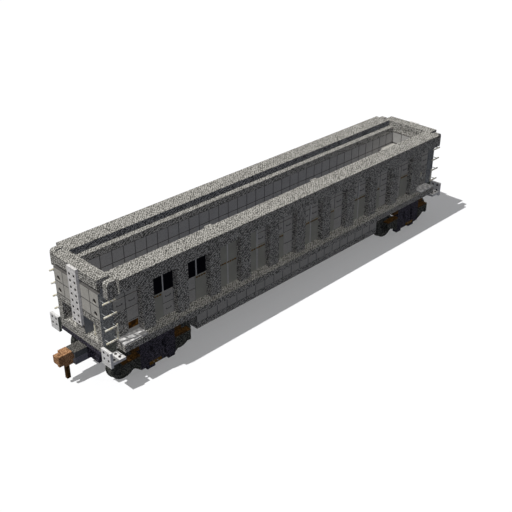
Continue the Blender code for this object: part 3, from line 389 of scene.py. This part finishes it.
# %% Give each solid its finish
by_start = (
    ("top_chord", chord_coat), ("side_wall", sand_paint), ("side_sill", sill_coat),
    ("tub_side", sand_paint), ("tub_floor", sheet_paint), ("tub_end", sand_paint),
    ("end_floor", sand_paint), ("slope_sheet", sheet_paint), ("end_chord", sand_paint),
    ("end_wall", end_coat), ("end_column", column_zinc), ("platform", platform_coat),
    ("ladder", ladder_coat), ("centre_sill", bitumen_iron), ("body_bolster", bitumen_iron),
    ("draft_box", draft_iron), ("bogie_bolster", bitumen_iron), ("side_frame", frame_iron),
    ("brake_rig", bitumen_iron), ("wheelset", wheel_iron), ("coupler", coupler_iron),
    ("knuckle", coupler_iron))
for name, solid in nodes.items():
    coat = next(coat for prefix, coat in by_start if name.startswith(prefix))
    solid.data.materials.clear()
    solid.data.materials.append(coat)
print(len(nodes), "solids painted in", len({coat.name for _, coat in by_start}), "finishes")

# %% [markdown]
# ## Pressed panels
# Between the posts the real sheet is a grid of square pressings. Each is a shallow tray whose
# edge is rounded, and what shows between two trays is the dark seam. A tray starts as a cube
# stretched to size, and a bevel softens its edges. One large sheet could be inset and extruded
# instead, but then every tray would have to share its depth and its edge. Bars and holes are
# short cylinders.

# %% A box and a disc
SOFT_EDGE = 0.004                    # radius of a rolled or cast edge


def slab(bm, low, high, bevel=0.0):
    """Adds a box between two corners to the mesh, with softened edges."""
    low, high = Vector(low), Vector(high)
    place = Matrix.Translation((low + high) / 2) @ Matrix.Diagonal((*(high - low), 1))
    made = bmesh.ops.create_cube(bm, size=1, matrix=place)
    if bevel:
        edges = {edge for vert in made["verts"] for edge in vert.link_edges}
        bmesh.ops.bevel(bm, geom=list(edges), offset=bevel, segments=2, profile=0.5,
                        affect="EDGES", material=-1)


DISC_SIDES = 20
TURNS = {"X": Matrix.Rotation(math.pi / 2, 4, "Y"), "Y": Matrix.Rotation(math.pi / 2, 4, "X"),
         "Z": Matrix.Identity(4)}


def disc(bm, centre, radius, depth, axis):
    """Adds a short cylinder along X, Y or Z to the mesh."""
    bmesh.ops.create_cone(bm, cap_ends=True, segments=DISC_SIDES, radius1=radius,
                          radius2=radius, depth=depth,
                          matrix=Matrix.Translation(centre) @ TURNS[axis])


print("a disc has", DISC_SIDES, "sides")

# %% [markdown]
# A finished mesh becomes an object that rides on one body of the wagon, so that a panel on a
# bogie turns with it. All trays of one run share a mesh, because they are welded to one wall;
# an object for each tray would be hundreds of objects that never part.

# %% From a mesh to a piece
BACK = 0.002                         # a piece reaches this far into the solid behind it


def piece(name, bm, coat, body):
    """Turns the mesh into an object that rides on a body."""
    bmesh.ops.recalc_face_normals(bm, faces=bm.faces)
    mesh = bpy.data.meshes.new(name)
    bm.to_mesh(mesh)
    bm.free()
    mesh.materials.append(coat)
    made = bpy.data.objects.new(name, mesh)
    bpy.context.scene.collection.objects.link(made)
    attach(made, body)


def proud(side, face, depth, way=1):
    """The low and high coordinate of a sheet that stands `depth` proud of a face on one side
    of the wagon, outwards, or inwards where `way` is -1."""
    return sorted((side * (face - way * BACK), side * (face + way * depth)))


print("modules along the inside:", round(2 * half_inside / MODULE, 2))

# %% [markdown]
# The bays of the side differ, as they do on a wagon that has been patched for decades. The
# table gives each bay's two columns from top to bottom: s a plain tray, m a tray with a latch,
# r a tray with a rust patch at its foot, g a grey-green patch, k a black board, p a stippled
# plate. A list of coordinates could say the same, but nobody could see a wagon's side in it. A
# post stands between two bays, so the third module of each stride carries no panel.

# %% The pattern of the bays
BAYS = (
    ("smpp", "smsr"), ("kkgg", "kkmm"), ("kkss", "kkgg"), ("gggg", "gggg"), ("gggg", "smgg"),
    ("smgg", "smss"), ("smgg", "smgg"), ("ssgg", "smss"), ("smgg", "smgg"), ("ssgg", "smms"),
    ("ssss", "smgg"), ("pppp", "smpp"))
STRIDE = 3                           # modules from one post to the next
COURSES = 4                          # rows of panels
bay_starts = [-half_inside + MODULE * STRIDE * number for number in range(len(BAYS))]


def panels(kinds, rows=range(COURSES)):
    """The x and z ranges of every panel of these kinds in these rows, bay by bay."""
    for start, columns in zip(bay_starts, BAYS):
        for column, letters in enumerate(columns):
            x = (start + column * MODULE, start + (column + 1) * MODULE)
            for row in rows:
                if letters[row] in kinds:
                    yield x, (wall_top - (row + 1) * MODULE, wall_top - row * MODULE)


print(len(BAYS), "bays a side with", len(list(panels("smr"))), "trays")

# %% [markdown]
# A tray covers one module, less half a seam on every side, and stands 14 mm proud. One sheet
# of caulk behind each bay shows between its trays. Each seam could be a strip of its own, but
# a sheet needs six faces for a whole bay.

# %% Trays and the seams behind them
TRAY = 0.014                         # how far a tray stands proud
TRAY_EDGE = 0.006                    # radius of its pressed edge
CAULK = 0.004


def bay_trays(side):
    bm = bmesh.new()
    y = proud(side, sheet_face, TRAY)
    for x, z in panels("smr"):
        slab(bm, (x[0] + half_seam, y[0], z[0] + half_seam),
             (x[1] - half_seam, y[1], z[1] - half_seam), TRAY_EDGE)
    return bm


def bay_seams(side):
    bm = bmesh.new()
    y = proud(side, sheet_face, CAULK)
    for start in bay_starts:
        slab(bm, (start, y[0], floor_top), (start + 2 * MODULE, y[1], wall_top))
    return bm


print("trays", round((TRAY - CAULK) * 1000), "mm proud of their seams")

# %% [markdown]
# Patches, boards and plates are flat sheets laid over whole modules, and differ only in their
# thickness and coat. So one helper makes them all. The patches are bare repairs in a flat
# grey-green primer, which looks even and slightly warm. The boards carry a dead black paint
# that swallows the light. The plates have the enamel of the posts.

# %% Flat panels: patches, boards and plates
PATCH, BOARD_SHEET, PLATE = 0.02, 0.016, 0.012   # how far each stands proud
CLOUD = 0.4                          # a primer's shading changes over an arm's length
patch_paint = finish("grey_green_primer", ("a19f93", "a4a296", "a7a599"), CLOUD, weather=0.03)
board_paint = finish("black_board_paint", ("141318", "17161b"), FINE, gloss=0.0)


def flat_panels(side, kind, depth):
    bm = bmesh.new()
    y = proud(side, sheet_face, depth)
    for x, z in panels(kind):
        slab(bm, (x[0], y[0], z[0]), (x[1], y[1], z[1]))
    return bm


for kind, what in (("g", "patches"), ("k", "boards"), ("p", "plates")):
    print(len(list(panels(kind))), what)

# %% [markdown]
# A latch is a flat bar with an upturned ear at each end, riveted to its tray. It could be one
# outline, extruded, but three small boxes with rounded edges look the same and are quicker to
# change.

# %% Latches
LATCH = 0.010                        # thickness
LATCH_HALF = 0.09                    # half its length
LATCH_FOOT, LATCH_TOP = 0.20, 0.225  # the bar, above the tray's foot
EAR_HALF, EAR_FOOT, EAR_TOP = 0.018, 0.21, 0.255


def bay_latches(side):
    bm = bmesh.new()
    y = proud(side, sheet_face + TRAY, LATCH)
    for x, z in panels("m"):
        middle = sum(x) / 2
        slab(bm, (middle - LATCH_HALF, y[0], z[0] + LATCH_FOOT),
             (middle + LATCH_HALF, y[1], z[0] + LATCH_TOP), SOFT_EDGE)
        for turn in (-1, 1):
            ear = middle + turn * LATCH_HALF
            slab(bm, (ear - EAR_HALF, y[0], z[0] + EAR_FOOT),
                 (ear + EAR_HALF, y[1], z[0] + EAR_TOP), SOFT_EDGE)
    return bm


print(len(list(panels("m"))), "latches a side, each", round(LATCH_HALF * 2000), "mm long")

# %% [markdown]
# Where a tray's enamel has failed, rust lifts off it in a flat scab, nearly the width of the
# tray. It could be painted on by a mask, but a scab has an edge, so it is a thin slab. To the
# eye it is a cloudy brown, because each centre of rust spreads until it meets the next.

# %% Rust blooms
BLOOM = 0.005
BLOOM_LEFT, BLOOM_RIGHT, BLOOM_FOOT, BLOOM_TOP = 0.03, 0.05, 0.17, 0.04   # in from each edge
RUST_SPREAD = 0.12                   # from one centre of rust to the next
rust_patch = finish("rust_bloom_on_sheet", ("2e1c07", "4a2f0d", "6b4718", "86602a"),
                    RUST_SPREAD)


def bay_blooms(side):
    bm = bmesh.new()
    y = proud(side, sheet_face + TRAY, BLOOM)
    for x, z in panels("r"):
        slab(bm, (x[0] + BLOOM_LEFT, y[0], z[0] + BLOOM_FOOT),
             (x[1] - BLOOM_RIGHT, y[1], z[1] - BLOOM_TOP))
    return bm


print(len(list(panels("r"))), "rust bloom a side")

# %% [markdown]
# A patch in the third course hangs from a brass strip, riveted on in four short lengths. The
# strips are chromated, which turns brass a yellow brown. A single strip with a broken pattern
# would need the pattern to follow it, while four boxes need nothing.

# %% Brass strips
STRIP = 0.035
DASHES, DASH, DASH_PITCH, DASH_START = 4, 0.07, 0.10, 0.02   # along x
STRIP_FOOT, STRIP_TOP = 0.085, 0.045                         # below the patch's top
brass_strip = finish("chromated_brass_strip", ("3a2a0e", "5c4416", "7a5c20", "967232"), FINE)


def bay_strips(side):
    bm = bmesh.new()
    y = proud(side, sheet_face, STRIP)
    for x, z in panels("g", rows=(2,)):
        for dash in range(DASHES):
            start = x[0] + DASH_START + dash * DASH_PITCH
            slab(bm, (start, y[0], z[1] - STRIP_FOOT), (start + DASH, y[1], z[1] - STRIP_TOP))
    return bm


print(len(list(panels("g", rows=(2,)))), "strips of", DASHES, "lengths a side")

# %% [markdown]
# A pale steel bar covers the joint between two boards, or between two columns of patches. It
# is pressed from thin strip, and its rounded edges catch the light as a fine line. A profile
# swept upwards would give the same bar with more steps.

# %% Mullions
MULLION, MULLION_WIDTH, MULLION_SHIFT = 0.024, 0.045, 0.02
mullion_paint = finish("pale_enamel_on_strip_steel", ("c2c0bc", "cfcdca"), FINE)


def bay_mullions(side):
    bm = bmesh.new()
    y = proud(side, sheet_face, MULLION)
    for start, (left, right) in zip(bay_starts, BAYS):
        boarded = left[0] == "k"
        if boarded or left[2:] == right[2:] == "gg":
            x = start + MODULE + MULLION_SHIFT
            foot = wall_top - 2 * MODULE if boarded else floor_top
            slab(bm, (x, y[0], foot), (x + MULLION_WIDTH, y[1], wall_top), SOFT_EDGE)
    return bm


print("mullions", round(MULLION_WIDTH * 1000), "mm wide")

# %% [markdown]
# Now both sides are put together. Each kind of part becomes one piece a side. Every helper
# takes the side as -1 or 1, so no mesh has to be mirrored, which would turn its faces inside
# out.

# %% Put the bays on both sides
for side_name, side in SIDES:
    for name, bm, coat, slot_name in (
            ("bay_trays", bay_trays(side), sheet_paint, "pressed_sheet_paint"),
            ("bay_seams", bay_seams(side), seam_caulk, "pressed_sheet_paint"),
            ("bay_patches", flat_panels(side, "g", PATCH), patch_paint, "pressed_sheet_paint"),
            ("bay_boards", flat_panels(side, "k", BOARD_SHEET), board_paint, "dark_bogie_iron"),
            ("bay_strips", bay_strips(side), brass_strip, "rusty_coupler_iron"),
            ("bay_latches", bay_latches(side), seam_caulk, "dark_bogie_iron"),
            ("bay_blooms", bay_blooms(side), rust_patch, "rusty_coupler_iron"),
            ("bay_plates", flat_panels(side, "p", PLATE), sand_paint, "pressed_sheet_paint"),
            ("bay_mullions", bay_mullions(side), mullion_paint, "pressed_sheet_paint")):
        piece(f"{name}_{side_name}", bm, coat, "car_body")
print("bays on", len(SIDES), "sides")

# %% [markdown]
# The inside of the walls is lined with the same trays in four courses, down to the floor. An
# array modifier would repeat one tray as well, but the two loops say plainly how many courses
# and columns there are.

# %% Linings of the side walls
LINING_TRAY, LINING_CAULK = 0.009, 0.003
lining_columns = round(2 * half_inside / MODULE)


def line_wall(side_name, side):
    trays, backs = bmesh.new(), bmesh.new()
    y = proud(side, inner_face, LINING_CAULK, way=-1)
    slab(backs, (-half_inside, y[0], floor_top), (half_inside, y[1], wall_top))
    y = proud(side, inner_face, LINING_TRAY, way=-1)
    for column in range(lining_columns):
        x = -half_inside + column * MODULE
        for row in range(COURSES):
            top = wall_top - row * MODULE
            slab(trays, (x + half_seam, y[0], top - MODULE + half_seam),
                 (x + MODULE - half_seam, y[1], top - half_seam), SOFT_EDGE)
    piece(f"lining_trays_{side_name}", trays, shaded_lining_paint, "car_body")
    piece(f"lining_seams_{side_name}", backs, seam_caulk, "car_body")


print("linings of", lining_columns, "by", COURSES, "trays")

# %% [markdown]
# Outside, the low tub between the bogies has one whole course of trays and half a course above
# it, over a plain foot of half a module. The courses differ only in height, so a table of
# heights does for both.

# %% Panels of the tub
TUB_COURSES = ((0, 1), (1, 1.5))     # from and to, in modules above the foot
tub_columns = round((tub_high.x - tub_low.x) / MODULE)


def panel_tub(side_name, side):
    trays, backs = bmesh.new(), bmesh.new()
    foot = tub_low.z + MODULE / 2
    y = proud(side, sheet_face, LINING_CAULK)
    slab(backs, (tub_low.x + MARGIN, y[0], foot),
         (tub_high.x - MARGIN, y[1], foot + MODULE * TUB_COURSES[-1][1]))
    y = proud(side, sheet_face, LINING_TRAY)
    for column in range(tub_columns):
        x = tub_low.x + column * MODULE
        for low, high in TUB_COURSES:
            slab(trays, (x + half_seam, y[0], foot + MODULE * low + half_seam),
                 (x + MODULE - half_seam, y[1], foot + MODULE * high - half_seam), SOFT_EDGE)
    piece(f"tub_trays_{side_name}", trays, sheet_paint, "car_body")
    piece(f"tub_seams_{side_name}", backs, seam_caulk, "car_body")


for side_name, side in SIDES:
    line_wall(side_name, side)
    panel_tub(side_name, side)
print("tub panels in", tub_columns, "columns")

# %% [markdown]
# The ends of the load space have three trays side by side above the slope sheet. Below them
# the sheet of caulk shows alone, which reads as a plain dark plate. A lining plate of its own
# would look the same there.

# %% Linings of the ends
end_columns = round(2 * inner_face / MODULE)
for end_name, end in ENDS:
    trays, backs = bmesh.new(), bmesh.new()
    x = proud(end, half_inside, LINING_CAULK, way=-1)
    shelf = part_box(f"slope_sheet_{end_name}")[1].z
    slab(backs, (x[0], -inner_face, shelf), (x[1], inner_face, wall_top))
    x = proud(end, half_inside, LINING_TRAY, way=-1)
    for column in range(end_columns):
        y = -inner_face + column * MODULE
        slab(trays, (x[0], y + half_seam, wall_top - MODULE + half_seam),
             (x[1], y + MODULE - half_seam, wall_top - half_seam), SOFT_EDGE)
    piece(f"end_lining_trays_{end_name}", trays, shaded_lining_paint, "car_body")
    piece(f"end_lining_seams_{end_name}", backs, seam_caulk, "car_body")
print(end_columns, "trays on each end")

# %% [markdown]
# ## Holes and small fittings
# The holes in the end columns, the end plates and the steps look black on the real wagon,
# because hardly any light gets into them. They are real holes in the solids, but shallow ones,
# and light would fill them. A dark lining in each does what depth does on the real wagon.

# %% Linings in the holes of a column and its end plates
hole_dark = finish("shadow_in_the_holes", ("322e2b", "3c3733", "2a2624"), FINE, gloss=0.0)
HOLE_ROWS, HOLE_PITCH, HOLE_DROP, HOLE_HALF = 8, 0.215, 0.24, 0.044   # square, in the column
PORT_ROWS, PORT_PITCH, PORT_DROP, PORT_INSET = 2, 0.41, 0.31, 0.20    # round, in the plates
PORT_RADIUS, PORT_DEPTH, PORT_SUNK = 0.078, 0.06, 0.055
HOLE_LIP = 0.010                     # a lining ends this far inside its hole
column_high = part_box("end_column_b")[1]


def line_column(bm, end):
    x = sorted((end * (end_face + BACK), end * (column_high.x - HOLE_LIP)))
    for row in range(HOLE_ROWS):
        z = column_high.z - HOLE_DROP - row * HOLE_PITCH
        for _, side in SIDES:
            y = side * HOLE_PITCH / 2
            slab(bm, (x[0], y - HOLE_HALF, z - HOLE_HALF), (x[1], y + HOLE_HALF, z + HOLE_HALF))


def line_plates(bm, end):
    for row in range(PORT_ROWS):
        z = wall_top - PORT_DROP - PORT_PITCH * row
        for _, side in SIDES:
            disc(bm, (end * (end_face - PORT_SUNK), side * (sheet_face - PORT_INSET), z),
                 PORT_RADIUS, PORT_DEPTH, "X")


print("column holes", HOLE_ROWS, "by 2, plate holes", PORT_ROWS, "by 2")

# %% [markdown]
# Each corner step has four square holes in its upright and four round ones in its tread, so
# that snow falls through. They are lined in the same way. The discs in the tread are thin, as
# the tread is.

# %% Linings in the holes of the steps
step_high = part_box("platform_b")[1]
STEP_ACROSS, STEP_DOWN, STEP_HALF = (-0.1, 0.1), (0.1, 0.3), 0.039      # in the upright
TREAD_INWARD, TREAD_RADIUS, TREAD_LEVEL = (0.10, 0.30), 0.045, 1.1615   # in the tread
STEP_LIP, TREAD_DEPTH = 0.006, 0.003


def line_steps(bm, end):
    x = sorted((end * (end_face + MARGIN), end * (step_high.x - STEP_LIP)))
    for _, side in SIDES:
        middle = side * (sheet_face + MODULE / 2)
        for across in STEP_ACROSS:
            y = middle + across
            for down in STEP_DOWN:
                z = floor_top - down
                slab(bm, (x[0], y - STEP_HALF, z - STEP_HALF),
                     (x[1], y + STEP_HALF, z + STEP_HALF))
            for inward in TREAD_INWARD:
                disc(bm, (end * (end_face - inward), y, TREAD_LEVEL), TREAD_RADIUS,
                     TREAD_DEPTH, "Z")


for end_name, end in ENDS:
    linings = bmesh.new()
    line_column(linings, end)
    line_plates(linings, end)
    line_steps(linings, end)
    piece(f"hole_linings_{end_name}", linings, hole_dark, "car_body")
print("step holes", len(STEP_ACROSS) * len(STEP_DOWN), "in each upright")

# %% [markdown]
# Under each spring group a spring plank crosses the bogie. Its end shows on the side frame as
# a rusty strip held by two bolts, whose zinc heads stay pale. It rides on the bogie, and only
# its end is made, because the frame hides the rest.

# %% Spring plank ends
PLANK, PLANK_HALF, PLANK_FOOT, PLANK_TOP = 0.010, 0.22, 0.235, 0.345
PLANK_SHIFT = 0.12                   # outwards from the bogie's centre
BOLT_SPREAD, BOLT_LEVEL, BOLT_RADIUS, BOLT_HEAD = 0.07, 0.30, 0.017, 0.012
bolt_zinc = finish("zinc_bolt_heads", SHEET, FINE)
FLAKES = 0.04                        # of rust, at their real width
plank_rust = finish("rusty_spring_plank", ("4a3512", "6b4f20", "8a6a30", "3c2a10"), FLAKES)
for end_name, end in ENDS:
    planks, bolts = bmesh.new(), bmesh.new()
    for side_name, side in SIDES:
        frame_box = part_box(f"side_frame_{end_name}_{side_name}")
        outer = max(abs(corner.y) for corner in frame_box)
        middle = end * (bogie_centre + PLANK_SHIFT)
        y = proud(side, outer, PLANK)
        slab(planks, (middle - PLANK_HALF, y[0], PLANK_FOOT),
             (middle + PLANK_HALF, y[1], PLANK_TOP))
        for turn in (-1, 1):
            disc(bolts, (middle + turn * BOLT_SPREAD, side * (outer + PLANK + BOLT_HEAD / 2),
                         BOLT_LEVEL), BOLT_RADIUS, BOLT_HEAD, "Y")
    piece(f"plank_ends_{end_name}", planks, plank_rust, f"bogie_{end_name}")
    piece(f"plank_bolts_{end_name}", bolts, bolt_zinc, f"bogie_{end_name}")
print("bogie centres at", round(bogie_centre, 3))

# %% [markdown]
# A short lamp iron stands on one side near each end: a round bar on two studs that holds the
# tail lamp of a train. It is enamelled like the grab irons. Turned about the wagon's middle,
# one takes the place of the other. One bent bar could be swept along a curve, but the studs
# are welded on square, so three short cylinders are nearer to the real thing.

# %% Lamp irons
LAMP_PLACE = (MODULE * 16.6, 2.02)   # along from the middle, and up
LAMP_STAND, LAMP_BAR, LAMP_LENGTH = 0.045, 0.014, 0.19
STUD_STAND, STUD_SPREAD, STUD_RADIUS, STUD_LENGTH = 0.022, 0.07, 0.010, 0.046
lamp_enamel = finish("lamp_iron_enamel", CREAM, FINE)
for end_name, end in ENDS:
    irons = bmesh.new()
    side = -end
    x, z = end * LAMP_PLACE[0], LAMP_PLACE[1]
    y = side * (sheet_face + LAMP_STAND)
    disc(irons, (x, y, z), LAMP_BAR, LAMP_LENGTH, "Z")
    for turn in (-1, 1):
        disc(irons, (x, side * (sheet_face + STUD_STAND), z + turn * STUD_SPREAD),
             STUD_RADIUS, STUD_LENGTH, "Y")
    piece(f"lamp_iron_{end_name}", irons, lamp_enamel, "car_body")
print("lamp irons", round(LAMP_PLACE[0], 3), "m from the middle")

# %% [markdown]
# ## Floor, light and camera
# The floor and the sky are white to the camera and in reflections only. Other rays see a dull
# floor and a dim sky, so that they don't fill the shaded side with light. The Light Path node
# tells the rays apart.

# %% Tell the rays apart
def seen_rays(tree):
    """1 for camera, glossy and transmission rays."""
    rays = add(tree, "ShaderNodeLightPath")
    seen = rays.outputs["Is Camera Ray"]
    for kind in ("Is Glossy Ray", "Is Transmission Ray"):
        seen = add(tree, "ShaderNodeMath", operation="MAXIMUM",
                   inputs={0: seen, 1: rays.outputs[kind]}).outputs[0]
    return seen


def split_rays(tree, kind, other, seen):
    """A shader of one kind with its own inputs for seen rays and for all others."""
    tree.nodes.clear()
    hidden = add(tree, kind, inputs=other)
    shown = add(tree, kind, inputs=seen)
    choice = add(tree, "ShaderNodeMixShader", inputs={
        0: seen_rays(tree), 1: hidden.outputs[0], 2: shown.outputs[0]})
    return choice.outputs[0]


print("two shaders to choose from: one for seen rays, one for the others")

# %% [markdown]
# The floor is one wide plane that reaches past the edge of the view, so no horizon shows. A
# curved studio sweep would do the same for a small object, but not for a wagon.

# %% The floor
FLOOR_HALF = 400                     # metres from the middle to each edge
bm = bmesh.new()
bmesh.ops.create_grid(bm, x_segments=1, y_segments=1, size=FLOOR_HALF)
mesh = bpy.data.meshes.new("floor")
bm.to_mesh(mesh)
bm.free()
floor = bpy.data.objects.new("floor", mesh)
bpy.context.scene.collection.objects.link(floor)
white_floor = bpy.data.materials.new("matt_white_floor")
white_floor.use_nodes = True
tree = white_floor.node_tree
plaster = split_rays(tree, "ShaderNodeBsdfDiffuse", {"Color": (0.05, 0.05, 0.05, 1)},
                     {"Color": (1, 1, 1, 1)})
add(tree, "ShaderNodeOutputMaterial", inputs={"Surface": plaster})
mesh.materials.append(white_floor)
print("floor", 2 * FLOOR_HALF, "m square")

# %% [markdown]
# One sun stands high over end A, a little behind the wagon, and draws hard shadows. Wide,
# shadowless panels around the stage fill them evenly, strongest from above, as a bright
# overcast sky does. Area lamps could do it too, but they fade along 18 m of wagon. The table
# gives each panel's direction of travel and its strength.

# %% Sun and panels
def lamp(name, travel, energy, colour=(1, 1, 1), angle=0.5, shadow=True):
    """A sun lamp whose light travels in one direction. Its angle is in degrees."""
    data = bpy.data.lights.new(name, "SUN")
    data.energy = energy
    data.color = colour
    data.angle = math.radians(angle)
    data.use_shadow = shadow
    made = bpy.data.objects.new(name, data)
    made.rotation_euler = Vector(travel).to_track_quat("-Z", "Y").to_euler()
    bpy.context.scene.collection.objects.link(made)


SUN_TRAVEL, SUN_STRENGTH = (0.595, -0.09, -1), 2.62
lamp("sun", SUN_TRAVEL, SUN_STRENGTH)
COOL = (0.90, 0.96, 1.18)            # light from a clouded sky is a little blue
PANEL_ANGLE = 20
PANELS = (("top_panel", (0, 0, -1), 0.74, (1, 1, 1)), ("near_panel", (0, 1, 0), 0.28, COOL),
          ("far_panel", (0, -1, 0), 0.30, COOL), ("end_a_panel", (1, 0, 0), 0.16, COOL),
          ("end_b_panel", (-1, 0, 0), 0.30, COOL))
for name, travel, energy, colour in PANELS:
    lamp(name, travel, energy, colour, PANEL_ANGLE, False)
print("one sun and", len(PANELS), "panels")

# %% [markdown]
# The world is split in the same way: white where it is seen, and a dim, cool sky that lifts
# the deepest hollows for every other ray. A brighter sky would do without the panels, but
# would light every side of the wagon alike.

# %% The sky
world = bpy.data.worlds.new("studio")
bpy.context.scene.world = world
world.use_nodes = True
tree = world.node_tree
sky = split_rays(tree, "ShaderNodeBackground", {"Color": (0.96, 0.99, 1.06, 1), "Strength": 0.06},
                 {"Color": (1, 1, 1, 1), "Strength": 1.0})
add(tree, "ShaderNodeOutputWorld", inputs={"Surface": sky})
bpy.context.scene.view_settings.view_transform = "Standard"
print("sky in place, colours shown as they are written")

# %% [markdown]
# The camera stands off end A and the near side, 15 m up, and looks down on the wagon at about
# 30 degrees. Its lens is a little long, so the far end isn't much smaller than the near one; a
# wide lens from nearby would stretch the coupler.

# %% The camera
CAMERA_PLACE = (-18.140, -17.272, 14.961)
TILT, HEADING = 60.516, -45.045      # degrees up from straight down, and about Z
camera_data = bpy.data.cameras.new("camera")
camera_data.lens = 57.52
camera_data.sensor_width = 36
camera_data.clip_end = 600
camera = bpy.data.objects.new("camera", camera_data)
camera.location = CAMERA_PLACE
camera.rotation_euler = (math.radians(TILT), 0, math.radians(HEADING))
bpy.context.scene.collection.objects.link(camera)
bpy.context.scene.camera = camera
print("camera", round(Vector(CAMERA_PLACE).length, 1), "m from the wagon's middle")
